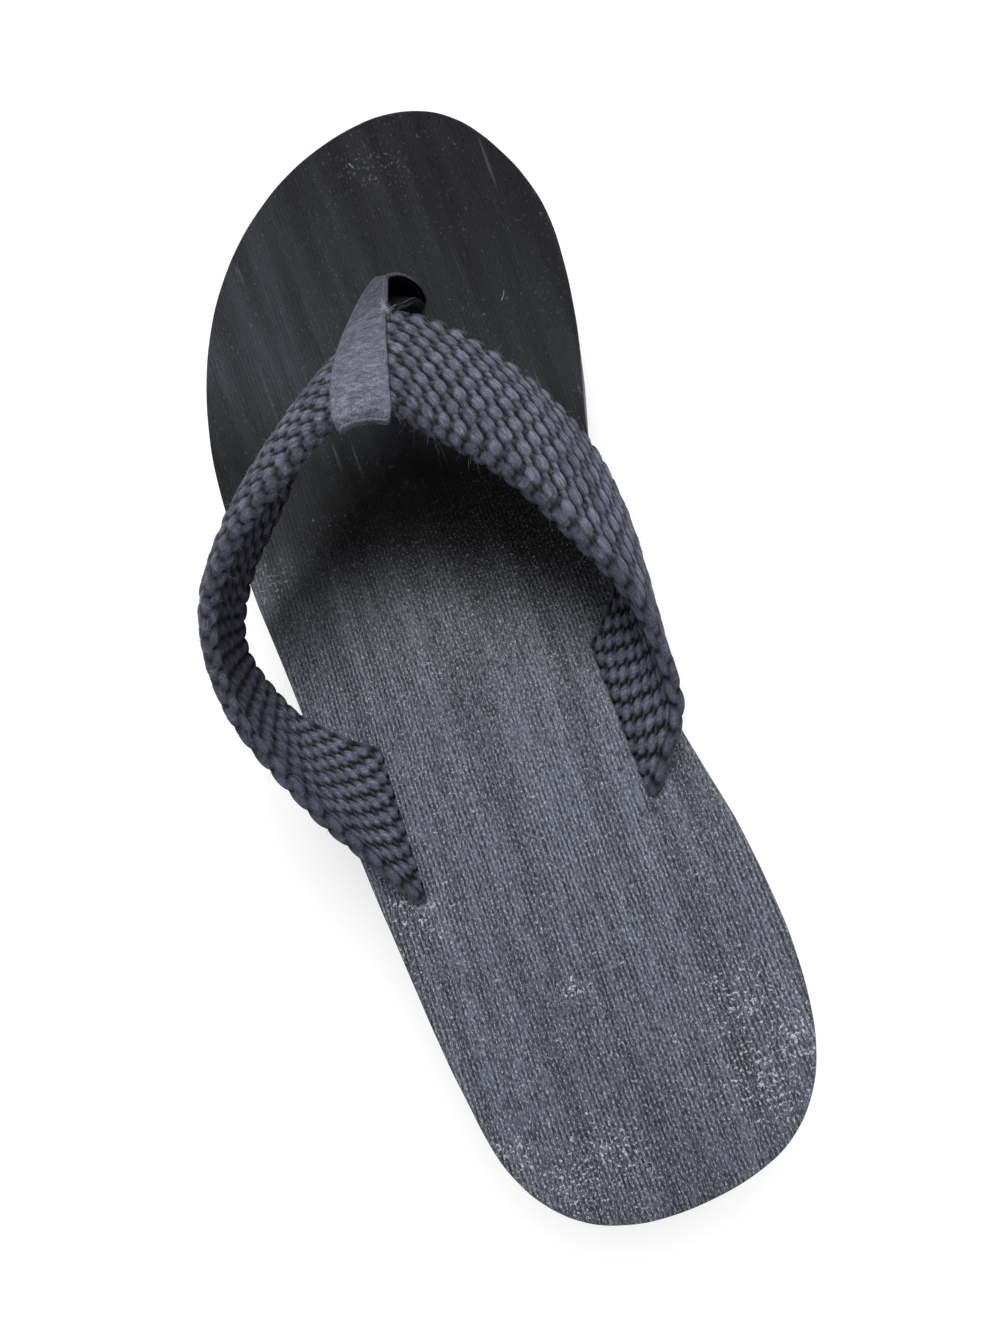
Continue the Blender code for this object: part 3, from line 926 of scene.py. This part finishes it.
def make_fuzz():
    """Short fibres off the strap's selvedges and crowns."""
    draw = np.random.default_rng(SEED + 1)
    count = EDGE_FIBRES + CROWN_FIBRES
    at_edge = np.arange(count) < EDGE_FIBRES
    rear = draw.uniform(0, 1, count) < REAR_SHARE
    row = draw.uniform(STRAP_FROM + FUZZ_MARGIN, STRAP_TO - FUZZ_MARGIN, count)
    selvedge = np.where(rear, 1 - EDGE_ROOT, EDGE_ROOT)
    across = np.where(at_edge, selvedge, draw.uniform(CROWN_EDGE, 1 - CROWN_EDGE, count))
    middle, normal, rearward = strap_surface(row, across)
    sideways = np.cross(normal, rearward)
    off = np.where(rear, 1.0, -1.0) * at_edge
    spread = draw.normal(0, FUZZ_SPREAD, (3, count, 1))
    out = np.where(at_edge, 0.0, CROWN_RISE)[:, None]
    at_edge = at_edge[:, None]
    ways = unit(rearward * (off[:, None] + spread[0]) + normal * (out + spread[1] * at_edge)
                + sideways * spread[2])
    crown = normal * (WEBBING_CORE + WEBBING_RELIEF * CROWN_ROOT)
    roots = middle + np.where(at_edge, ways * WEBBING_CORE, crown)
    lengths = np.where(at_edge[:, 0], draw.uniform(*EDGE_LENGTHS, count),
                       draw.uniform(*CROWN_LENGTHS, count))
    bends = draw.normal(0, FUZZ_BEND, (count, 3))
    return make_fibres("strap_fuzz", roots, ways, bends, lengths, FUZZ_THICK)


def make_fray():
    """Pale frayed ends: at the tape's inner edge on the ridge and behind the outer slit."""
    draw = np.random.default_rng(SEED + 2)
    sheet = tape_sheet(np.array([-1.0, 1.0]))
    ridge = sheet[len(UPPER_LEG_ROWS), 1]
    x, _, rear = STRAP_SLITS[0]
    slit = over_footbed(x, rear, 0.0) + SLIT_FRAY_OFF
    roots = np.concatenate([ridge + draw.normal(0, RIDGE_FRAY_SPREAD, (FRAY_FIBRES, 3)),
                            slit + draw.normal(0, SLIT_FRAY_SPREAD, (FRAY_FIBRES, 3))])
    ways = draw.normal(0, 1, (2 * FRAY_FIBRES, 3))
    ways[:FRAY_FIBRES] += RIDGE_FRAY_WAY
    ways[FRAY_FIBRES:, 2] = np.abs(ways[FRAY_FIBRES:, 2]) * SLIT_FRAY_RISE
    bends = draw.normal(0, FRAY_BEND, ways.shape)
    bends[FRAY_FIBRES:, 2] *= SLIT_FRAY_BEND
    lengths = draw.uniform(*FRAY_LENGTHS, len(ways))
    return make_fibres("pale_fray", roots, unit(ways), bends, lengths, FRAY_THICK)


def make_lint():
    """Single fibres lying on the footbed."""
    x, station, lengths, heading, bend = np.array(LINT).T
    turn = np.radians(heading)
    ways = np.stack([np.cos(turn), np.sin(turn), 0 * turn], axis=-1)
    bends = np.stack([-np.sin(turn), np.cos(turn), 0 * turn], axis=-1) * bend[:, None]
    roots = over_footbed(x, station, LINT_THICK)
    return make_fibres("footbed_lint", roots, ways, bends, lengths, LINT_THICK)


def node(tree, kind, inputs=None, **settings):
    """Shader node with its settings, and values or links on its sockets."""
    made = tree.nodes.new("ShaderNode" + kind)
    for key, value in settings.items():
        setattr(made, key, value)
    for key, value in (inputs or {}).items():
        if isinstance(value, bpy.types.NodeSocket):
            tree.links.new(value, made.inputs[key])
        else:
            made.inputs[key].default_value = value
    return made


def maths(tree, operation, a, b=0.0):
    return node(tree, "Math", {0: a, 1: b}, operation=operation).outputs[0]


def plus(tree, a, b):
    return maths(tree, "ADD", a, b)


def times(tree, a, b):
    return maths(tree, "MULTIPLY", a, b)


def scaled(tree, vector, scale):
    inputs = {0: vector, 1: scale}
    return node(tree, "VectorMath", inputs, operation="MULTIPLY").outputs[0]


def cloud(tree, vector, scale, detail=2.0):
    """Soft noise of one scale, or of a scale along each axis."""
    if isinstance(scale, tuple):
        vector, scale = scaled(tree, vector, scale), 1.0
    inputs = {"Vector": vector, "Scale": scale, "Detail": detail}
    return node(tree, "TexNoise", inputs).outputs["Fac"]


def between(tree, value, low, high, to_low=0.0, to_high=1.0):
    """Smooth step of a value from one level to another."""
    inputs = {"Value": value, "From Min": low, "From Max": high,
              "To Min": to_low, "To Max": to_high}
    made = node(tree, "MapRange", inputs, interpolation_type="SMOOTHSTEP")
    return made.outputs["Result"]


def blend(tree, factor, a, b):
    return node(tree, "Mix", {0: factor, 6: a, 7: b}, data_type="RGBA").outputs[2]


def tinted(tree, colour, shade):
    """Colour made lighter or darker by a value."""
    inputs = {0: colour, "Scale": shade}
    return node(tree, "VectorMath", inputs, operation="SCALE").outputs[0]


def effect(name, inputs, outputs, fill):
    """Node group with named sockets, filled by a function of its tree and input sockets."""
    tree = bpy.data.node_groups.new(name, "ShaderNodeTree")
    for key, kind in inputs:
        tree.interface.new_socket(key, in_out="INPUT", socket_type=kind)
    for key in outputs:
        tree.interface.new_socket(key, in_out="OUTPUT", socket_type="NodeSocketFloat")
    given = tree.nodes.new("NodeGroupInput")
    results = fill(tree, given.outputs)
    end = tree.nodes.new("NodeGroupOutput")
    for key, value in zip(outputs, results):
        tree.links.new(value, end.inputs[key])
    return tree


def fill_foam_grain(tree, given):
    inputs = {"Vector": given["Place"], "Scale": given["Fineness"]}
    pebble = node(tree, "TexVoronoi", inputs).outputs["Distance"]
    fine = cloud(tree, given["Place"], given["Fineness"], 3.0)
    return [plus(tree, times(tree, pebble, 0.6), fine)]


def fill_rub_and_dust(tree, given):
    vector = given["Place"]
    specks = between(tree, cloud(tree, vector, 1.5), 0.63, 0.73)
    patches = between(tree, cloud(tree, vector, 0.07, 3.0), 0.42, 0.62)
    film = between(tree, cloud(tree, vector, 0.022, 4.0), 0.36, 0.66)
    smudges = between(tree, cloud(tree, vector, (0.13, 0.035, 0.13), 3.0), 0.42, 0.72)
    drawn = between(tree, cloud(tree, vector, (0.8, 0.011, 0.8), 0.0), 0.74, 0.82)
    broken = between(tree, cloud(tree, vector, 0.025, 1.0), 0.5, 0.62)
    return times(tree, specks, patches), film, smudges, times(tree, drawn, broken)


def dashes(tree, vector, scale):
    """Short dashes at uneven places, 1 at their middles."""
    inputs = {"Vector": scaled(tree, vector, scale), "Scale": 1.0}
    made = node(tree, "TexVoronoi", inputs, voronoi_dimensions="2D")
    return maths(tree, "SUBTRACT", 1.0, made.outputs["Distance"])


def fill_brushed(tree, given):
    vector = given["Place"]
    short = dashes(tree, vector, (3.2, 0.95, 0.0))
    speckle = cloud(tree, vector, 2.6)
    drawn = cloud(tree, vector, (1.1, 0.09, 0.0))
    height = times(tree, dashes(tree, vector, (1.9, 0.3, 0.0)), 0.25)
    for layer, weight in ((short, 0.3), (speckle, 0.25), (drawn, 0.3)):
        height = plus(tree, height, times(tree, layer, weight))
    flecks = plus(tree, times(tree, short, 0.5), times(tree, speckle, 0.5))
    return height, between(tree, flecks, 0.6, 0.76)


def fill_yarn(tree, given):
    coarse = cloud(tree, given["Run"], 1.0)
    fine = cloud(tree, given["Run"], 2.3)
    return plus(tree, coarse, times(tree, fine, 0.5)), between(tree, coarse, 0.3, 0.7)


PLACE = ("Place", "NodeSocketVector")
FOAM_GRAIN = effect("foam_grain", [PLACE, ("Fineness", "NodeSocketFloat")], ["Height"],
                    fill_foam_grain)
RUB_AND_DUST = effect("rub_and_dust", [PLACE], ["Specks", "Film", "Smudges", "Scratches"],
                      fill_rub_and_dust)
BRUSHED = effect("brushed_foam", [PLACE], ["Height", "Flecks"], fill_brushed)
YARN = effect("yarn_fibres", [("Run", "NodeSocketVector")], ["Height", "Tone"], fill_yarn)


def use(tree, group, inputs):
    """An effect placed in a material, with its own values."""
    return node(tree, "Group", inputs, node_tree=group).outputs


def new_finish(name, **values):
    """Material with a Principled shader and constants on its own sockets."""
    material = bpy.data.materials.new(name)
    material.use_nodes = True
    tree = material.node_tree
    shader = tree.nodes["Principled BSDF"]
    for key, value in values.items():
        shader.inputs[key.replace("_", " ")].default_value = value
    return material, tree, shader


def place_in_mm(tree):
    where = node(tree, "TexCoord").outputs["Object"]
    return scaled(tree, where, (1000.0, 1000.0, 1000.0))


def axes(tree, vector):
    return node(tree, "SeparateXYZ", {"Vector": vector}).outputs


def mark(tree, name, output="Fac"):
    """Value that a piece carries at its points."""
    return node(tree, "Attribute", attribute_name=name).outputs[output]


def relief(tree, shader, height, distance, strength):
    inputs = {"Height": height, "Distance": distance, "Strength": strength}
    normal = node(tree, "Bump", inputs).outputs["Normal"]
    tree.links.new(normal, shader.inputs["Normal"])


def station_tones(tree, along, table):
    """Colour along the shoe from a short table of tones."""
    share = maths(tree, "DIVIDE", plus(tree, along, SOLE_LENGTH / 2), SOLE_LENGTH)
    ramp = node(tree, "ValToRGB", {"Fac": share})
    stops = ramp.color_ramp.elements
    while len(stops) < len(table):
        stops.new(0.5)
    for stop, (station, *colour) in zip(stops, table):
        stop.position = station / SOLE_LENGTH
        stop.color = (*colour, 1.0)
    return ramp.outputs["Color"]


def foam_ribs(tree, where):
    """Fine ribs along the footbed, which wander a little and are worn in places."""
    wander = times(tree, cloud(tree, where, (0.12, 0.02, 0.0)), RIB_WANDER)
    phase = plus(tree, times(tree, axes(tree, where)["X"], 2 * math.pi / RIB_PITCH), wander)
    deep = between(tree, cloud(tree, where, 0.03), 0.35, 0.6, 0.05, 0.13)
    return times(tree, maths(tree, "SINE", phase), deep)


def near_rubbed(tree, where):
    """How near a point is to a rubbed place, 1 at its middle and 0 from its radius on."""
    flat = scaled(tree, where, (1.0, 1.0, 0.0))
    rubbed_and_highlit = 0.0
    for x, station, radius in RUBBED_PLACES:
        inputs = {0: flat, 1: (x, station - SOLE_LENGTH / 2, 0.0)}
        apart = node(tree, "VectorMath", inputs, operation="DISTANCE")
        near = between(tree, apart.outputs["Value"], 0.0, radius, 1.0, 0.0)
        rubbed_and_highlit = maths(tree, "MAXIMUM", near, rubbed_and_highlit)
    return rubbed_and_highlit


def footbed_finish():
    """Ribbed foam, paler and dustier at the heel and dark towards the toe, with a painted shadow
    under the strap and painted shade on the inner side at the toe.
    """
    material, tree, shader = new_finish("ribbed_foam", Roughness=0.7, Specular_IOR_Level=0.15)
    where = place_in_mm(tree)
    parts = axes(tree, where)
    brushed = use(tree, BRUSHED, {"Place": where})
    wear = use(tree, RUB_AND_DUST, {"Place": where})
    ribs = foam_ribs(tree, where)
    height = plus(tree, brushed["Height"], ribs)
    worn = between(tree, parts["Y"], -10.0, 60.0, 1.0, WORN_TOE)

    shade = plus(tree, times(tree, between(tree, height, 0.34, 0.86, -0.64, 0.64), worn), 1.0)
    broad = cloud(tree, where, (0.16, 0.012, 0.0), 3.0)
    shade = times(tree, shade, between(tree, broad, 0.32, 0.68, 0.68, 1.2))
    # Painted shade: darker towards the inner side at the toe
    inner_painted_shade = between(tree, parts["X"], -45.0, 40.0, 0.2, -0.45)
    at_toe = between(tree, parts["Y"], 0.0, 70.0)
    shade = times(tree, shade, plus(tree, times(tree, inner_painted_shade, at_toe), 1.0))
    # Tones along the shoe, slanted across it; their dark stops paint the shadow under the strap
    slanted = plus(tree, parts["Y"], times(tree, parts["X"], TONES_AND_SHADOW_SLANT))
    colour = tinted(tree, station_tones(tree, slanted, FOOTBED_TONES_AND_SHADOW), shade)

    flecks = times(tree, brushed["Flecks"], between(tree, worn, 0.3, 1.0, 0.0, 0.8))
    flecks = times(tree, flecks, between(tree, ribs, -0.02, 0.06, 0.3, 1.0))
    colour = blend(tree, flecks, colour, PALE_DUST)
    dusty = between(tree, worn, WORN_TOE, 1.0, 0.12, 0.85)
    colour = blend(tree, times(tree, wear["Specks"], dusty), colour, DUST)
    colour = blend(tree, times(tree, wear["Scratches"], 0.12), colour, DUST)
    rubbed_and_highlit = times(tree, near_rubbed(tree, where), 0.1)
    spots = between(tree, plus(tree, cloud(tree, where, 1.3, 4.0), rubbed_and_highlit), 0.64, 0.75)
    colour = blend(tree, times(tree, spots, dusty), colour, PALE_DUST)
    tree.links.new(colour, shader.inputs["Base Color"])
    relief(tree, shader, height, *FOOTBED_RELIEF)
    return material


def sole_finish():
    """Satin foam with a film of dust, smudges, a few scratches and a painted sheen towards the
    toe.
    """
    material, tree, shader = new_finish("satin_foam", Specular_IOR_Level=0.3)
    where = place_in_mm(tree)
    grain = use(tree, FOAM_GRAIN, {"Place": where, "Fineness": 1.6})
    wear = use(tree, RUB_AND_DUST, {"Place": where})
    brushed = cloud(tree, where, (1.5, 0.4, 1.5))
    shade = times(tree, between(tree, wear["Film"], 0.0, 1.0, 0.78, 1.25),
                  between(tree, brushed, 0.3, 0.7, 0.78, 1.22))
    shade = times(tree, shade, between(tree, wear["Smudges"], 0.0, 1.0, 0.92, 1.35))
    # Tones along the shoe, with a painted sheen towards the toe
    colour = tinted(tree, station_tones(tree, axes(tree, where)["Y"], SOLE_TONES_AND_SHEEN), shade)
    colour = blend(tree, times(tree, wear["Specks"], 0.6), colour, DUST)
    colour = blend(tree, times(tree, wear["Scratches"], 0.4), colour, DUST)
    tree.links.new(colour, shader.inputs["Base Color"])
    rough = between(tree, wear["Film"], 0.0, 1.0, 0.45, 0.62)
    tree.links.new(rough, shader.inputs["Roughness"])
    relief(tree, shader, grain["Height"], *SOLE_RELIEF)
    return material


def webbing_finish():
    """Yarn with painted shade in its grooves, fibres along it and a painted highlight on the tops
    of its crowns.
    """
    material, tree, shader = new_finish("woven_webbing", Roughness=0.85, Sheen_Weight=0.06,
                                        Sheen_Roughness=0.6, Specular_IOR_Level=0.06)
    raised = mark(tree, "crown")
    run = mark(tree, "run", "Vector")
    yarn = use(tree, YARN, {"Run": scaled(tree, run, (9.5, 2.0, 1.0))})
    speckle = cloud(tree, place_in_mm(tree), 3.2, 3.0)
    # Painted shade: darker from each yarn's crown down to its rim, in the grooves
    colour = blend(tree, between(tree, raised, 0.18, 1.0), YARN_GROOVE_SHADE, YARN_CROWN)
    shade = times(tree, between(tree, mark(tree, "tone"), 0.0, 1.0, 0.78, 1.2),
                  between(tree, yarn["Tone"], 0.0, 1.0, 0.68, 1.28))
    shade = times(tree, shade, between(tree, speckle, 0.35, 0.65, 0.72, 1.3))
    colour = tinted(tree, colour, shade)
    # Painted highlight: paler tops of the crowns along the brighter fibres
    rubbed_and_highlit = times(tree, between(tree, raised, 0.75, 1.0),
                   between(tree, yarn["Tone"], 0.65, 1.0))
    colour = blend(tree, times(tree, rubbed_and_highlit, 0.4), colour, YARN_PALE_AND_HIGHLIGHT)
    tree.links.new(colour, shader.inputs["Base Color"])
    height = plus(tree, yarn["Height"], times(tree, speckle, 0.8))
    relief(tree, shader, height, *YARN_RELIEF)
    return material


def tape_finish():
    """Woven tape, darker round its loop and down its hidden leg as painted shade, with a black
    lining.
    """
    material, tree, shader = new_finish("ribbed_tape", Roughness=0.8, Specular_IOR_Level=0.12)
    run = node(tree, "TexCoord").outputs["UV"]
    along = axes(tree, run)["Y"]
    yarn, ribs, picks = (use(tree, YARN, {"Run": scaled(tree, run, scale)})
                         for scale in (TAPE_YARN, LINING_RIBS, TAPE_PICKS))
    creases = cloud(tree, place_in_mm(tree), 0.3, 3.0)
    colour = blend(tree, yarn["Tone"], TAPE_DARK, TAPE_TONE)
    # Painted shade: darker up the front leg round the loop, and much darker down the hidden leg
    colour = tinted(tree, colour, between(tree, along, 0.2, 0.42, 0.6, 1.0))
    colour = tinted(tree, colour, between(tree, along, 0.66, 0.76, 1.0, 0.3))
    shade = times(tree, between(tree, picks["Tone"], 0.0, 1.0, 0.74, 1.2),
                  between(tree, creases, 0.35, 0.65, 0.8, 1.16))
    colour = tinted(tree, colour, shade)
    dark = tinted(tree, LINING_TONE, between(tree, ribs["Tone"], 0.0, 1.0, 0.4, 2.4))
    colour = blend(tree, between(tree, mark(tree, "lining"), 0.55, 0.75), colour, dark)
    tree.links.new(colour, shader.inputs["Base Color"])
    folds = plus(tree, times(tree, creases, 4.0), picks["Height"])
    relief(tree, shader, plus(tree, folds, yarn["Height"]), *TAPE_RELIEF)
    return material


def plain_yarn_finish(name, dark, pale):
    """Finish of stitches and fibres, mottled between two tones."""
    material, tree, shader = new_finish(name, Roughness=0.75, Specular_IOR_Level=0.25)
    mottle = between(tree, cloud(tree, place_in_mm(tree), 0.7), 0.35, 0.65)
    tree.links.new(blend(tree, mottle, dark, pale), shader.inputs["Base Color"])
    return material


def dress(piece, material, slot, *nodes):
    """Gives a piece its finish and its body and hides the solids it stands for; the slot is not
    used.
    """
    piece.data.materials.clear()
    piece.data.materials.append(material)
    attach(piece, "root")
    if nodes:
        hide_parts(*nodes)


def finish_side(piece, material):
    """Second finish on a piece's faces that don't look up."""
    piece.data.materials.append(material)
    for face in piece.data.polygons:
        face.material_index = 1 if face.normal.z < SIDE_NORMAL else 0


def add_camera():
    data = bpy.data.cameras.new("camera")
    data.lens = CAMERA_LENS
    data.sensor_width = CAMERA_SENSOR
    data.clip_start = CAMERA_NEAR
    camera = bpy.data.objects.new("camera", data)
    link(camera)
    turn = Matrix.Identity(4)
    for degrees, axis in CAMERA_TURNS:
        turn = turn @ Matrix.Rotation(math.radians(degrees), 4, axis)
    camera.matrix_world = Matrix.Translation(CAMERA_PLACE) @ turn
    bpy.context.scene.camera = camera


def add_light():
    """Soft daylight from the toe side, in a pale surround that looks white."""
    world = bpy.data.worlds.new("surround")
    world.use_nodes = True
    tree = world.node_tree
    surround = tree.nodes["Background"]
    surround.inputs["Color"].default_value = WHITE
    seen = node(tree, "LightPath").outputs["Is Camera Ray"]
    strength = between(tree, seen, 0.0, 1.0, SURROUND_LIGHT, 1.0)
    tree.links.new(strength, surround.inputs["Strength"])
    bpy.context.scene.world = world
    data = bpy.data.lights.new("daylight", "SUN")
    data.energy = SUN_LIGHT
    data.angle = math.radians(SUN_SPREAD)
    sun = bpy.data.objects.new("daylight", data)
    sun.rotation_euler = [math.radians(degrees) for degrees in SUN_TURN]
    link(sun)
    bpy.context.scene.view_settings.view_transform = "Standard"


def add_floor():
    floor = add_primitive(bpy.ops.mesh.primitive_plane_add, size=FLOOR_SIZE)
    floor.name = "floor"
    floor.data.transform(Matrix.Translation((0.0, 0.0, -FLOOR_DROP)))
    material, _, _ = new_finish("pale_floor", Base_Color=FLOOR_TONE, Roughness=0.9,
                                Specular_IOR_Level=0.0, Emission_Color=WHITE,
                                Emission_Strength=FLOOR_GLOW)
    floor.data.materials.append(material)


def main():
    add_camera()
    add_light()
    add_floor()
    foam = sole_finish()
    dress(make_sole(), foam, "sole_foam", "sole")
    footbed = make_footbed()
    dress(footbed, footbed_finish(), "footbed_foam", "footbed")
    finish_side(footbed, foam)
    points, marks = strap_points()
    dress(lay_grid("webbing_strap", points, marks), webbing_finish(), "webbing", "strap")
    points, lining = tape_points()
    tape = lay_grid("toe_tape", points, {"lining": lining})
    dress(tape, tape_finish(), "grosgrain", "toe_post")
    thread = plain_yarn_finish("stitch_thread", TAPE_DARK, TAPE_TONE)
    pale = plain_yarn_finish("pale_thread", TAPE_TONE, PALE_THREAD)
    frayed = plain_yarn_finish("frayed_thread", PALE_THREAD, FRAYED_THREAD)
    dress(make_stitches("tape_stitches", STITCH_LENGTH, stitch_places()), thread, "grosgrain")
    dress(make_stitches("tape_seam", SEAM_LENGTH, seam_places()), pale, "grosgrain")
    dress(make_fray(), frayed, "grosgrain")
    dress(make_fuzz(), plain_yarn_finish("yarn_fuzz", YARN_CROWN, YARN_PALE_AND_HIGHLIGHT), "webbing")
    dress(make_lint(), plain_yarn_finish("lint", PALE_THREAD, LINT_PALE), "footbed_foam")


main()
